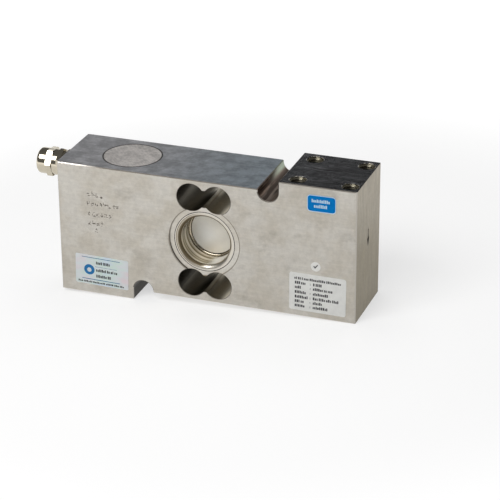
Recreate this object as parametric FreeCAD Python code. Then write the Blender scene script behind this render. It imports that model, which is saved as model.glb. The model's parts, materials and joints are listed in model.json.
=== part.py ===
import FreeCAD, Part
import math
import os

from FreeCAD import Vector

# Single point load cell, in millimetres. X runs from the fixed end to the load end, Y to the back, Z up.
# The origin is the centre of the fixed end's bolt pattern, on the face that is bolted down.

# Beam
beam_length = 150.0
beam_width = 38.0
beam_height = 62.0  # without the two mounting pads
pad_rise = 5.0  # how far each mounting pad stands proud of the beam
edge_chamfer = 0.4
corner_chamfer = 0.8  # on the upright edges of both end faces

# Relief grooves that part each pad from the bending length
groove_radius = 5.1
groove_depth = 5.6

# Bolt patterns, one on each pad, cut M8
bolt_spacing = 25.4  # along the beam
bolt_edge = 5.0  # from the end face to the first pair's axes
bolt_margin = 7.6  # from the second pair's axes to the pad's wall
bolt_side = 6.3  # from each side of the beam
bolt_radius = 4.0
bolt_depth = 16.0
bolt_chamfer = 0.4
drill_point = 0.5  # depth of a drilled hole's cone against its radius

# Slots: two lobes joined by a neck, one slot above the gauge bore and one below
flexure_wall = 2.0  # metal left outside a lobe
lobe_radius = 7.0
neck_height = 8.7
neck_length = 2.0
neck_fillet = 0.9
slot_chamfer = 0.25

# Gauge bore and the turned seat for its seal cups
gauge_wall = 1.5  # metal left between a lobe and the gauge bore
seat_land = 0.75  # ledge that a cup's flange sits on
spot_face_margin = 3.2
spot_face_depth = 0.5

# Seal cups
cup_gap = 1.7  # between a cup's wall and the gauge bore
cup_wall = 0.4
cup_floor = 0.9
gauge_room = 10.2  # between the two cups
cup_lip_radius = 2.3
cup_corner_radius = 0.6
cup_groove_width = 0.4
cup_groove_depth = 0.35
flange_thickness = 1.0
weld_gap = 0.05  # between welded pieces, all round

# Electronics pocket and its lid
pocket_distance = 31.5  # from the fixed end's face
pocket_radius = 12.4
pocket_depth = 18.0
lid_ledge = 1.7  # width of the ledge that the lid sits on
lid_thickness = 1.5

# Passage for the leads, drilled from the pocket into the gauge bore
passage_radius = 2.2
passage_height = 3.0  # above the pocket's floor, where it leaves the pocket
passage_angle = 160.0  # where it meets the gauge bore, from +X

# Strain gauges, solder terminals and the wires that link them
gauge_length = 8.0
gauge_sweep = 18.0  # degrees of the bore that a gauge covers
gauge_thickness = 0.15
glue_line = 0.05
terminal_width = 3.0
terminal_length = 7.0
terminal_thickness = 0.8
link_radius = 0.2
link_spacing = 5.0
lead_radius = 0.35
lead_pitch = 0.9
lead_rise = 3.0  # straight up from the board
lead_from_board_centre = 2.5
lead_before_passage = 8.8  # from the leads' bend over the board to the passage
lead_after_passage = 4.4  # from the passage to the bend in the gauge bore
lead_turn = Vector(-4, 0, 4.5)  # bend under the terminal, from the bore's middle
lead_end_run = 3.6  # straight up to the terminal
lead_bend_share = 0.45  # of a straight run, the part that each bend may take
leads = ("red", "black", "green", "white")

# Board in the pocket
board_clearance = 0.9  # from the board's corners to the pocket's wall
board_angle = 34.3  # from X to the line through the pocket's axis and a far corner
board_shift = 1.5  # towards the fixed end, to leave the leads room
board_thickness = 1.0
board_corner = 1.0
pad_thickness = 1.0
pad_margin = 1.0
resistor_size = (3.2, 2.4, 1.2)
resistor_pitch = 4.0
resistor_inset = 3.7  # from the board's end nearest the fixed end
resistors = ("zero_trim_resistor", "span_trim_resistor", "modulus_resistor")

# Cable gland, M12, screwed into the fixed end's face
gland_drop = 8.7  # below the beam's top
thread_radius = 6.0
thread_length = 9.5
thread_gap = 0.05
thread_runout = 0.5  # free depth of the hole past the thread's end
wire_bore_radius = 3.0
seal_ring_thickness = 1.0
seal_ring_width = 0.95
hex_relief = 0.05  # how far the flats lie below the round parts of the gland
body_hex_length = 2.1
body_hex_turn = 30.0  # stands corner up
flange_length = 1.2
flange_edge = 0.2  # how far the flange stands out past the sealing ring
shank_radius = 6.1
shank_length = 2.3  # from the flange to the hexagon
collar_length = 2.45
spigot_radius = 5.3
spigot_wall = 0.6
spigot_length = 5.0
cap_wall = 1.1
body_bore = 3.0
cap_gap = 0.15  # between the cap and the collar
cap_hex_length = 3.15
cap_hex_turn = 5.0  # where it came to rest when tightened
cap_length = 8.25
cap_round = 1.7
cap_mouth_radius = 3.3
cap_mouth_length = 0.8
hex_bevel = 0.5
clamp_lip = 0.6
clamp_wall = 0.9
seal_bore = 2.5
seal_stand = 0.5  # how far the seal stands out of the clamp
fit_gap = 0.05

# Labels on the front face
label_thickness = 0.12
label_corner = 1.1
rating_label = (27.9, 19.4)  # length along the beam, height
rating_from_end = 18.5
rating_above_underside = 12.7
blue_label = (14.0, 8.4)
blue_from_end = 16.9
blue_below_pad = 8.1
left_label = (27.7, 15.6)
left_label_from_end = 21.6
left_label_above_face = 12.3
round_label_radius = 2.4
round_label_from_end = 19.5
round_label_above_underside = 26.8

# Load arrow cut in the load end's face
arrow_height = 9.0
arrow_top = 46.0
arrow_shaft = 1.1
arrow_head = 3.6
arrow_head_height = 4.6
arrow_depth = 0.4

# How far a cutting shape runs past the face that it opens, and the closeness of equal places
overrun = 1.0
tolerance = 1e-4

# Places that follow from the sizes above
pad_length = bolt_edge + bolt_spacing + bolt_margin
left = -(bolt_edge + bolt_spacing / 2)
right = left + beam_length
front = -beam_width / 2
back = beam_width / 2
underside = pad_rise
top = pad_rise + beam_height
pad_top = top + pad_rise
middle = Vector((left + right) / 2, 0, pad_top / 2)
lobe_height = beam_height / 2 - flexure_wall - lobe_radius
lobe_spacing = neck_length + 2 * math.sqrt(lobe_radius ** 2 - (neck_height / 2) ** 2)
lobe_angle = math.degrees(math.atan2(lobe_height, lobe_spacing / 2))
bore_radius = math.hypot(lobe_height, lobe_spacing / 2) - lobe_radius - gauge_wall
seat_radius = bore_radius + seat_land
cup_radius = bore_radius - cup_gap
cup_depth = (beam_width - gauge_room) / 2 - cup_floor  # from the beam's face to the cup's floor
pocket_x = left + pocket_distance
pocket_floor = top - pocket_depth
lid_radius = pocket_radius + lid_ledge
board_reach = pocket_radius - board_clearance
board_length = 2 * (board_reach * math.cos(math.radians(board_angle)) - board_shift)
board_width = 2 * board_reach * math.sin(math.radians(board_angle))
board_top = pocket_floor + pad_thickness + board_thickness
board_x = pocket_x - board_shift
gland_z = top - gland_drop
terminal_reach = math.sqrt((bore_radius - glue_line) ** 2 - (terminal_width / 2) ** 2)
terminal_face = terminal_reach - terminal_thickness  # from the bore's axis to the soldered side
passage_start = Vector(pocket_x + pocket_radius, 0, pocket_floor + passage_height)
passage_end = middle + Vector(math.cos(math.radians(passage_angle)), 0,
                              math.sin(math.radians(passage_angle))) * bore_radius

X = Vector(1, 0, 0)
Y = Vector(0, 1, 0)
Z = Vector(0, 0, 1)


def box(x0, x1, y0, y1, z0, z1):
    return Part.makeBox(x1 - x0, y1 - y0, z1 - z0, Vector(x0, y0, z0))


def rod(radius, start, end):
    return Part.makeCylinder(radius, (end - start).Length, start, end - start)


def across(radius, x, z):
    """A rod along Y that runs past both faces of the beam."""
    return rod(radius, Vector(x, front - overrun, z), Vector(x, back + overrun, z))


def half_turn(shape):
    """The same shape at the other end: the beam is alike when turned over end for end."""
    turned = shape.copy()
    turned.rotate(middle, Y, 180)
    return turned


def revolved(points, origin, axis, outward):
    """A full turn, about the axis, of an outline given as (distance along the axis, radius).

    An entry of four numbers is an arc, through its first pair to its second."""
    def place(along, radius):
        return origin + axis * along + outward * radius

    edges = []
    last = place(*points[-1][-2:])
    for point in points:
        end = place(*point[-2:])
        if len(point) == 4:
            edges.append(Part.Arc(last, place(*point[:2]), end).toShape())
        else:
            edges.append(Part.makeLine(last, end))
        last = end
    return Part.Face(Part.Wire(edges)).revolve(origin, axis, 360)


def quarter(centre, start, end):
    """The outline entry for a quarter round about the centre."""
    half = math.sqrt(0.5)
    middle_point = [c + half * (a - c) + half * (b - c) for c, a, b in zip(centre, start, end)]
    return (*middle_point, *end)


def edges_along(shape, axis):
    """The straight edges that run along the axis."""
    ends = [(edge, edge.Vertexes[0].Point, edge.Vertexes[-1].Point) for edge in shape.Edges]
    spans = [(edge, b - a) for edge, a, b in ends]
    return [edge for edge, span in spans if span.Length > tolerance and near(span.cross(axis).Length, 0)]


def near(a, b):
    return abs(a - b) < tolerance


def save(name, shape):
    shape = shape.removeSplitter()
    shape.exportStep("parts/" + name + ".step")
    print(name, len(shape.Solids), "solid", round(shape.Volume, 2), "mm3", shape.isValid())


# Beam body

def beam_blank():
    """The milled block: the beam with one pad under the fixed end and one on the load end."""
    bar = box(left, right, front, back, underside, top)
    pad = box(right - pad_length, right, front, back, top, pad_top)
    blank = bar.fuse([pad, half_turn(pad)]).removeSplitter()
    groove = relief_groove()
    return blank.cut([groove, half_turn(groove)])


def relief_groove():
    """A round-bottomed groove beside the load pad, flush with the pad's wall."""
    x = right - pad_length - groove_radius
    z = top - groove_depth + groove_radius
    mouth = box(x - groove_radius, x + groove_radius, front - overrun, back + overrun, z, pad_top + overrun)
    return across(groove_radius, x, z).fuse(mouth).removeSplitter()


def break_edges(blank):
    ends = (left, right)
    uprights = [edge for edge in edges_along(blank, Z) if any(near(edge.Vertexes[0].X, x) for x in ends)]
    blank = blank.makeChamfer(corner_chamfer, uprights)
    sides = [edge for edge in blank.Edges if all(near(abs(v.Y), back) for v in edge.Vertexes)]
    return blank.makeChamfer(edge_chamfer, sides)


def slot():
    """The slot above the gauge bore: two lobes with bevelled mouths, and the neck between them."""
    z = middle.z + lobe_height
    places = [middle.x + side * lobe_spacing / 2 for side in (-1, 1)]
    lobes = [across(lobe_radius, x, z) for x in places]
    half = neck_height / 2
    neck = box(places[0], places[1], front - overrun, back + overrun, z - half, z + half)
    shape = lobes[0].fuse([lobes[1], neck]).removeSplitter()
    straight = edges_along(shape, Y)
    corners = [edge for edge in straight if near(abs(edge.Vertexes[0].Z - z), half)]
    shape = shape.makeFillet(neck_fillet, corners)
    wide = lobe_radius + slot_chamfer
    bevels = []
    for x in places:
        bevels.append(Part.makeCone(wide, lobe_radius, slot_chamfer, Vector(x, front, z), Y))
        bevels.append(Part.makeCone(wide, lobe_radius, slot_chamfer, Vector(x, back, z), -Y))
    return shape.fuse(bevels)


def gauge_bore():
    """The bore for the gauges, with a seat for a cup's flange and a spot face at each mouth."""
    seat = front + spot_face_depth + flange_thickness
    profile = [(front - overrun, 0), (front - overrun, bore_radius + spot_face_margin),
               (front + spot_face_depth, bore_radius + spot_face_margin),
               (front + spot_face_depth, seat_radius), (seat, seat_radius), (seat, bore_radius),
               (0, bore_radius), (0, 0)]
    half = revolved(profile, Vector(middle.x, 0, middle.z), Y, X)
    return half.fuse(half.mirror(Vector(0, 0, 0), Y)).removeSplitter()


def bolt_hole(x, y):
    """A tapped hole in the load pad, down from its face."""
    profile = [(overrun, 0), (overrun, bolt_radius + bolt_chamfer), (0, bolt_radius + bolt_chamfer),
               (-bolt_chamfer, bolt_radius), (-bolt_depth, bolt_radius),
               (-bolt_depth - bolt_radius * drill_point, 0)]
    return revolved(profile, Vector(x, y, pad_top), Z, X)


def bolt_holes():
    """The load pad's four holes."""
    rows = (right - bolt_edge, right - bolt_edge - bolt_spacing)
    return [bolt_hole(x, y) for x in rows for y in (front + bolt_side, back - bolt_side)]


def pocket():
    """The electronics pocket with the ledge for its lid, the gland's hole and the lead passage."""
    floor = Vector(pocket_x, 0, pocket_floor)
    well = rod(pocket_radius, floor, floor + Z * (pocket_depth + overrun))
    ledge = Vector(pocket_x, 0, top - lid_thickness)
    recess = rod(lid_radius + weld_gap, ledge, ledge + Z * (lid_thickness + overrun))
    mouth = Vector(left, 0, gland_z)
    gland_hole = rod(thread_radius + thread_gap, mouth - X * overrun,
                     mouth + X * (thread_length + thread_runout))
    wire_bore = rod(wire_bore_radius, mouth, Vector(pocket_x, 0, gland_z))
    along = (passage_end - passage_start).normalize()
    spare = along * passage_height
    passage = rod(passage_radius, passage_start - spare, passage_end + spare)
    return [well, recess, gland_hole, wire_bore, passage]


def load_arrow():
    """A downward arrow, cut into the load end's face."""
    tip = arrow_top - arrow_height
    neck = tip + arrow_head_height
    outline = [(0, tip), (arrow_head / 2, neck), (arrow_shaft / 2, neck), (arrow_shaft / 2, arrow_top),
               (-arrow_shaft / 2, arrow_top), (-arrow_shaft / 2, neck), (-arrow_head / 2, neck)]
    corners = [Vector(right - arrow_depth, y, z) for y, z in outline]
    return Part.Face(Part.makePolygon(corners + corners[:1])).extrude(X * (arrow_depth + overrun))


def beam_body():
    upper = slot()
    holes = bolt_holes()
    fixed_holes = [half_turn(hole) for hole in holes]
    cuts = [upper, half_turn(upper), gauge_bore(), load_arrow()] + holes + fixed_holes + pocket()
    return break_edges(beam_blank()).cut(cuts)


# Seal cups

def seal_cup():
    """The front cup: a thin flanged cup whose floor closes the gauge bore from one side."""
    inner = cup_radius - cup_wall
    rim = spot_face_depth
    shoulder = rim + flange_thickness
    lip = rim + cup_lip_radius
    corner = cup_depth - cup_corner_radius
    groove_outside = inner - cup_corner_radius
    groove_inside = groove_outside - cup_groove_width
    groove_floor = cup_depth + cup_groove_depth
    outside = cup_depth + cup_floor
    edge = seat_radius - weld_gap
    profile = [(cup_depth, 0), (cup_depth, groove_inside), (groove_floor, groove_inside),
               (groove_floor, groove_outside), (cup_depth, groove_outside),
               quarter((corner, groove_outside), (cup_depth, groove_outside), (corner, inner)),
               (lip, inner),
               quarter((lip, inner + cup_lip_radius), (lip, inner), (rim, inner + cup_lip_radius)),
               (rim, edge), (shoulder, edge), (shoulder, cup_radius), (outside, cup_radius), (outside, 0)]
    return revolved(profile, Vector(middle.x, front, middle.z), Y, X)


def pocket_lid():
    base = Vector(pocket_x, 0, top - lid_thickness)
    return rod(lid_radius, base, base + Z * lid_thickness)


# Inside the gauge bore

def strain_gauge(angle):
    """A foil patch bonded to the bore's wall at the given angle from +X."""
    outer = bore_radius - glue_line
    inner = outer - gauge_thickness
    start = Vector(middle.x, -gauge_length / 2, middle.z)
    shell = rod(outer, start, start + Y * gauge_length).cut(rod(inner, start, start + Y * gauge_length))
    first = math.radians(angle - gauge_sweep / 2)
    last = math.radians(angle + gauge_sweep / 2)
    reach = bore_radius / math.cos(math.radians(gauge_sweep / 2)) + overrun
    corners = [start, start + Vector(math.cos(first), 0, math.sin(first)) * reach,
               start + Vector(math.cos(last), 0, math.sin(last)) * reach, start]
    wedge = Part.Face(Part.makePolygon(corners)).extrude(Y * gauge_length)
    return shell.common(wedge)


def terminal():
    """The solder terminal bonded at the top of the gauge bore."""
    return box(middle.x - terminal_width / 2, middle.x + terminal_width / 2,
               -terminal_length / 2, terminal_length / 2,
               middle.z + terminal_face, middle.z + terminal_reach)


def link_wire(y):
    """A wire that follows the bore's wall from the upper terminal down to the lower one."""
    height = terminal_face + terminal_thickness / 2
    radius = math.hypot(height, terminal_width / 2 + glue_line)
    angle = math.degrees(math.atan2(height, terminal_width / 2 + glue_line))
    path = Part.makeCircle(radius, Vector(middle.x, y, middle.z), -Y, -angle, angle)
    return swept(path, link_radius)


def swept(path, radius):
    wire = Part.Wire(path) if path.ShapeType == "Edge" else path
    start = wire.OrderedEdges[0]
    at = start.firstVertex(True).Point
    along = start.tangentAt(start.FirstParameter)
    if start.Orientation == "Reversed":
        along = start.tangentAt(start.LastParameter) * -1
    disc = Part.Wire(Part.makeCircle(radius, at, along))
    return wire.makePipeShell([disc], True, False)


def tangent_route(points):
    """Straight runs between the points, joined by arcs as large as the runs beside them allow."""
    edges = []
    radii = []
    last = points[0]
    for before, at, after in zip(points, points[1:], points[2:]):
        arriving = (before - at).normalize()
        leaving = (after - at).normalize()
        turn = math.pi - arriving.getAngle(leaving)
        cut = lead_bend_share * min((before - at).Length, (after - at).Length)
        radius = cut / math.tan(turn / 2)
        radii.append(round(radius, 2))
        entry = at + arriving * cut
        leave = at + leaving * cut
        bisector = (arriving + leaving).normalize()
        crown = at + bisector * (radius / math.cos(turn / 2) - radius)
        edges.append(Part.makeLine(last, entry))
        edges.append(Part.Arc(entry, crown, leave).toShape())
        last = leave
    edges.append(Part.makeLine(last, points[-1]))
    return Part.Wire(edges), radii


def lead(y):
    """A lead from the board, through the passage, to the upper terminal."""
    along = (passage_end - passage_start).normalize()
    shift = Y * y
    lead_x = board_x + lead_from_board_centre
    points = [
        Vector(lead_x, y, board_top),
        Vector(lead_x, y, board_top + lead_rise),
        passage_start - along * lead_before_passage + shift,
        passage_end + along * lead_after_passage + shift,
        middle + lead_turn + shift,
        middle + Vector(0, y, terminal_face - lead_end_run),
        middle + Vector(0, y, terminal_face),
    ]
    path, radii = tangent_route(points)
    wire = swept(path, lead_radius)
    print("lead radii", radii, "volume against section times length",
          round(wire.Volume / (math.pi * lead_radius ** 2 * path.Length), 4))
    return wire


# Inside the pocket

def slab(x, y, z, length, width, height):
    return box(x - length / 2, x + length / 2, y - width / 2, y + width / 2, z, z + height)


def board_pad():
    return slab(board_x, 0, pocket_floor, board_length - 2 * pad_margin, board_width - 2 * pad_margin,
                pad_thickness)


def junction_board():
    board = slab(board_x, 0, pocket_floor + pad_thickness, board_length, board_width, board_thickness)
    return board.makeFillet(board_corner, edges_along(board, Z))


def resistor(index):
    length, width, height = resistor_size
    x = board_x - board_length / 2 + resistor_inset
    return slab(x, (index - 1) * resistor_pitch, board_top, length, width, height)


# Cable gland: distances run outwards from the fixed end's face, along -X

gland_origin = Vector(left, 0, gland_z)
seal_ring_radius = thread_radius + thread_gap + seal_ring_width
flange_radius = seal_ring_radius + flange_edge
flange_face = seal_ring_thickness
shank_face = flange_face + flange_length
hex_face = shank_face + shank_length
collar_face = hex_face + body_hex_length
spigot_face = collar_face + collar_length
spigot_bore = spigot_radius - spigot_wall
collar_radius = spigot_radius + fit_gap + cap_wall
hex_flats = 2 * (collar_radius - hex_relief)
spigot_end = spigot_face + spigot_length
cap_face = spigot_face + cap_gap
cap_end = cap_face + cap_length


def gland_turned(points):
    return revolved(points, gland_origin, -X, Y)


def hex_bar(start, end, turn):
    """A hexagonal bar, bevelled at its corners, turned so many degrees from having flats above and below."""
    corner_radius = hex_flats / 2 / math.cos(math.radians(30))
    angles = [math.radians(a - turn) for a in range(0, 361, 60)]
    corners = [gland_origin - X * start + Vector(0, math.cos(a), math.sin(a)) * corner_radius for a in angles]
    bar = Part.Face(Part.makePolygon(corners)).extrude(-X * (end - start))
    bevel = [(start, 0), (start, corner_radius - hex_bevel), (start + hex_bevel / 2, corner_radius),
             (end - hex_bevel / 2, corner_radius), (end, corner_radius - hex_bevel), (end, 0)]
    return bar.common(gland_turned(bevel))


def gland_o_ring():
    hole = thread_radius + thread_gap
    return gland_turned([(0, hole), (0, seal_ring_radius), (seal_ring_thickness, seal_ring_radius),
                         (seal_ring_thickness, hole)])


def gland_body():
    """The body: thread in the beam, flange, shank, hexagon, round collar and the spigot for the cap."""
    core = gland_turned([(-thread_length, body_bore), (-thread_length, thread_radius),
                         (flange_face, thread_radius), (flange_face, flange_radius),
                         (shank_face, flange_radius), (shank_face, shank_radius),
                         (hex_face, shank_radius), (hex_face, collar_radius),
                         (spigot_face, collar_radius), (spigot_face, spigot_radius),
                         (spigot_end, spigot_radius), (spigot_end, spigot_bore),
                         (collar_face, spigot_bore), (collar_face, body_bore)])
    start = hex_face - overrun
    end = collar_face + overrun
    hole = gland_turned([(start, 0), (start, body_bore), (end, body_bore), (end, 0)])
    return core.fuse(hex_bar(hex_face, collar_face, body_hex_turn).cut(hole))


def gland_cap():
    """The cap nut: hexagonal behind, round and domed in front, with a mouth for the cable."""
    hollow = spigot_radius + fit_gap
    clamp_face = spigot_end + clamp_lip + fit_gap
    mouth_start = cap_end - cap_mouth_length
    dome_start = cap_end - cap_round
    dome_edge = collar_radius - cap_round
    outside = [(cap_face, 0), (cap_face, collar_radius - hex_bevel),
               (cap_face + hex_bevel, collar_radius), (dome_start, collar_radius),
               quarter((dome_start, dome_edge), (dome_start, collar_radius), (cap_end, dome_edge)),
               (cap_end, 0)]
    start = cap_face - overrun
    end = cap_end + overrun
    inside = [(start, 0), (start, hollow), (clamp_face, hollow), (mouth_start, cap_mouth_radius),
              (end, cap_mouth_radius), (end, 0)]
    shell = gland_turned(outside).fuse(hex_bar(cap_face, cap_face + cap_hex_length, cap_hex_turn))
    return shell.cut(gland_turned(inside))


def gland_clamp():
    """The plastic clamping insert, hung by its lip on the spigot."""
    outer = spigot_bore - fit_gap
    inner = outer - clamp_wall
    lip = spigot_radius - fit_gap
    lip_end = spigot_end + clamp_lip
    return gland_turned([(collar_face + fit_gap, outer), (spigot_end, outer), (spigot_end, lip),
                         (lip_end, lip), (lip_end, inner), (collar_face + fit_gap, inner)])


def gland_seal():
    """The rubber bush that grips the cable."""
    outer = spigot_bore - clamp_wall - 2 * fit_gap
    end = spigot_end + clamp_lip + seal_stand
    return gland_turned([(collar_face, seal_bore), (collar_face, outer), (end, outer), (end, seal_bore)])


# Labels

def rectangular_label(size, x, z):
    length, height = size
    plate = box(x - length / 2, x + length / 2, front - label_thickness, front,
                z - height / 2, z + height / 2)
    return plate.makeFillet(label_corner, edges_along(plate, Y))


def circular_label(radius, x, z):
    face = Vector(x, front, z)
    return rod(radius, face, face - Y * label_thickness)


os.makedirs("parts", exist_ok=True)

save("beam_body", beam_body())

front_cup = seal_cup()
save("front_seal_cup", front_cup)
save("rear_seal_cup", front_cup.mirror(Vector(0, 0, 0), Y))
save("pocket_lid", pocket_lid())

save("upper_right_gauge", strain_gauge(lobe_angle))
save("upper_left_gauge", strain_gauge(180 - lobe_angle))
save("lower_left_gauge", strain_gauge(180 + lobe_angle))
save("lower_right_gauge", strain_gauge(-lobe_angle))
save("upper_terminal", terminal())
save("lower_terminal", half_turn(terminal()))
save("front_link_wire", link_wire(-link_spacing / 2))
save("rear_link_wire", link_wire(link_spacing / 2))
for index, colour in enumerate(leads):
    save(colour + "_lead", lead((index - (len(leads) - 1) / 2) * lead_pitch))

save("board_pad", board_pad())
save("junction_board", junction_board())
for index, name in enumerate(resistors):
    save(name, resistor(index))

save("gland_o_ring", gland_o_ring())
save("gland_body", gland_body())
save("gland_cap", gland_cap())
save("gland_clamp", gland_clamp())
save("gland_seal", gland_seal())

save("rating_label", rectangular_label(rating_label, right - rating_from_end,
                                       underside + rating_above_underside))
save("blue_label", rectangular_label(blue_label, right - blue_from_end, pad_top - blue_below_pad))
save("left_label", rectangular_label(left_label, left + left_label_from_end, left_label_above_face))
save("round_label", circular_label(round_label_radius, right - round_label_from_end,
                                   underside + round_label_above_underside))
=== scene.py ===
import json
import math
import random

import bmesh
import bpy
from mathutils import Matrix, Vector


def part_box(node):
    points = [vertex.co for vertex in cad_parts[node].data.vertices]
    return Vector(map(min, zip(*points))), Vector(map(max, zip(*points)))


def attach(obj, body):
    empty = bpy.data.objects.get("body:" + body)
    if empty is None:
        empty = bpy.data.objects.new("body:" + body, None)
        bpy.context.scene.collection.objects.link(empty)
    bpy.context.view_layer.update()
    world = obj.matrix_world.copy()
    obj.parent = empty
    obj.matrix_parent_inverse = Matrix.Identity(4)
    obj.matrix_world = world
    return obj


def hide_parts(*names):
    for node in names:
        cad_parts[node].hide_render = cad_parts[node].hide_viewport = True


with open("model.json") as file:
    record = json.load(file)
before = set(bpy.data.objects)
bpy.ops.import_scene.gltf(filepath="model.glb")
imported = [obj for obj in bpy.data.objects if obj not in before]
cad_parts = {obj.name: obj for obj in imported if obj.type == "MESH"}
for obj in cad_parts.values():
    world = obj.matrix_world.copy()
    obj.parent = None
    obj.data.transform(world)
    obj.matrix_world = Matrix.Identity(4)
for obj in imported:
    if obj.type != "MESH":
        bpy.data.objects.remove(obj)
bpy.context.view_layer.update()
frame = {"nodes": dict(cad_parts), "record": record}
mm = 0.001

# places on the part, in millimetres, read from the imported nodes
bodyLow, bodyHigh = [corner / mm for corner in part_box("beam_body")]
cupLow, cupHigh = [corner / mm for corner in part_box("front_seal_cup")]
lidLow, lidHigh = [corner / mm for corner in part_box("pocket_lid")]
boreCentre = (cupLow + cupHigh) / 2
lidCentre = (lidLow + lidHigh) / 2
lowTop = lidHigh.z
loadBolts = frame["record"]["mounts"][1]
print("frame loaded:", len(frame["nodes"]), "nodes")


def colour(red, green, blue):
    # a colour as it looks on screen, 0 to 255, turned into the linear values that sockets take
    def linear(level):
        level = level / 255
        return level / 12.92 if level <= 0.04045 else ((level + 0.055) / 1.055) ** 2.4

    return (linear(red), linear(green), linear(blue), 1.0)


class Signal:
    # wraps one socket; the operators add Math nodes
    def __init__(self, shader, socket):
        self.shader = shader
        self.socket = socket

    def of(self, name):
        return Signal(self.shader, self.socket.node.outputs[name])

    def __add__(self, other):
        return self.shader.maths("ADD", self, other)

    def __radd__(self, other):
        return self.shader.maths("ADD", other, self)

    def __sub__(self, other):
        return self.shader.maths("SUBTRACT", self, other)

    def __rsub__(self, other):
        return self.shader.maths("SUBTRACT", other, self)

    def __mul__(self, other):
        return self.shader.maths("MULTIPLY", self, other)

    def __rmul__(self, other):
        return self.shader.maths("MULTIPLY", other, self)

    def __pow__(self, other):
        return self.shader.maths("POWER", self, other)

    def __abs__(self):
        return self.shader.maths("ABSOLUTE", self)

    def __lt__(self, other):
        return self.shader.maths("LESS_THAN", self, other)

    def __gt__(self, other):
        return self.shader.maths("GREATER_THAN", self, other)


class Shader:
    def __init__(self, name):
        self.material = bpy.data.materials.new(name)
        self.material.use_nodes = True
        self.tree = self.material.node_tree
        self.tree.nodes.clear()

    def node(self, kind, settings=None, sockets=None, output=0):
        made = self.tree.nodes.new("ShaderNode" + kind)
        for name, value in (settings or {}).items():
            if name == "stops":
                ramp = made.color_ramp
                while len(ramp.elements) < len(value):
                    ramp.elements.new(0.5)
                for element, (position, shade) in zip(ramp.elements, value):
                    element.position = position
                    element.color = shade
            else:
                setattr(made, name, value)
        for name, value in (sockets or {}).items():
            if isinstance(value, Signal):
                self.tree.links.new(value.socket, made.inputs[name])
            else:
                made.inputs[name].default_value = value
        return Signal(self, made.outputs[output]) if len(made.outputs) else None

    def maths(self, operation, *values):
        return self.node("Math", {"operation": operation}, dict(enumerate(values)))

    def larger(self, a, b):
        return self.maths("MAXIMUM", a, b)

    def smooth(self, value, low, high):
        # 0 at low, 1 at high, eased between them
        return self.node("MapRange", {"interpolation_type": "SMOOTHSTEP"},
                         {"Value": value, "From Min": low, "From Max": high})

    def mix(self, factor, a, b):
        return self.node("Mix", {"data_type": "RGBA"}, {0: factor, 6: a, 7: b}, 2)

    def between(self, factor, a, b):
        return self.node("Mix", {"data_type": "FLOAT"}, {0: factor, 2: a, 3: b})

    def shade(self, base, amount):
        # multiplies a colour by a number
        base = base if isinstance(base, Signal) else base[:3]
        return self.node("VectorMath", {"operation": "SCALE"}, {0: base, "Scale": amount})

    def place(self):
        # where the surface is, in millimetres of the part's own frame
        here = self.node("TexCoord", output="Object")
        return self.node("VectorMath", {"operation": "SCALE"}, {0: here, "Scale": 1000.0})

    def split(self, vector):
        parts = self.node("SeparateXYZ", {}, {0: vector})
        return parts, parts.of("Y"), parts.of("Z")

    def stretched(self, place, factors):
        return self.node("VectorMath", {"operation": "MULTIPLY"}, {0: place, 1: factors})

    def noise(self, place, scale, detail, roughness):
        return self.node("TexNoise", {}, {"Vector": place, "Scale": scale, "Detail": detail,
                                          "Roughness": roughness})

    def bump(self, height, strength, distance):
        return self.node("Bump", {}, {"Height": height, "Strength": strength, "Distance": distance})

    def along(self, slope):
        # 1 where the surface faces along this axis, either way
        return self.smooth(abs(slope), 0.8, 0.95)

    def radius(self, a, b, centreA, centreB):
        return self.maths("SQRT", (a - centreA) ** 2 + (b - centreB) ** 2)

    def principled(self, sockets):
        surface = self.node("BsdfPrincipled", {}, sockets)
        self.node("OutputMaterial", {}, {"Surface": surface})
        return self.material


beamFinish = {
    "front": colour(201, 197, 189),
    "frontWarm": colour(192, 186, 175),
    "smudge": colour(150, 143, 134),
    "top": colour(182, 182, 185),
    "topCool": colour(151, 161, 169),
    "pad": colour(84, 86, 90),
    "scuff": colour(132, 133, 136),
    "end": colour(141, 132, 112),
    "endTop": colour(163, 155, 139),
    "slot": colour(140, 130, 108),
    "slotLit": colour(222, 214, 196),
    "notch": colour(112, 96, 84),
    "notchLight": colour(206, 188, 174),
    "footNotchShade": colour(42, 38, 28),
    "glow": colour(142, 152, 134),
    "edge": colour(214, 209, 200),
    "shadedEdge": colour(140, 135, 127),
    "countersinkGlint": colour(216, 211, 200),
    "seatShadeLine": colour(112, 104, 92),
    "stain": colour(46, 40, 34),
    "sideRoughness": 0.42,
    "topRoughness": 0.5,
    "padRoughness": 0.2,
    "slotRoughness": 0.34,
    "edgeRoughness": 0.3,
    # places in millimetres
    "underLevel": 5.4,  # level faces lower than this are the undersides
    "lowBevel": 6.4,
    "highBevel": 65.6,
    "seatRadius": 17.85,
    "seamRadius": 14.25,
    "padStep": {"past": 80.0, "deep": 6.0},
    "footStep": {"before": 45.0, "under": 17.0},
    "sinkRadius": 5.0,
    "arrowDepth": (0.2, 0.45),
}


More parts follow.
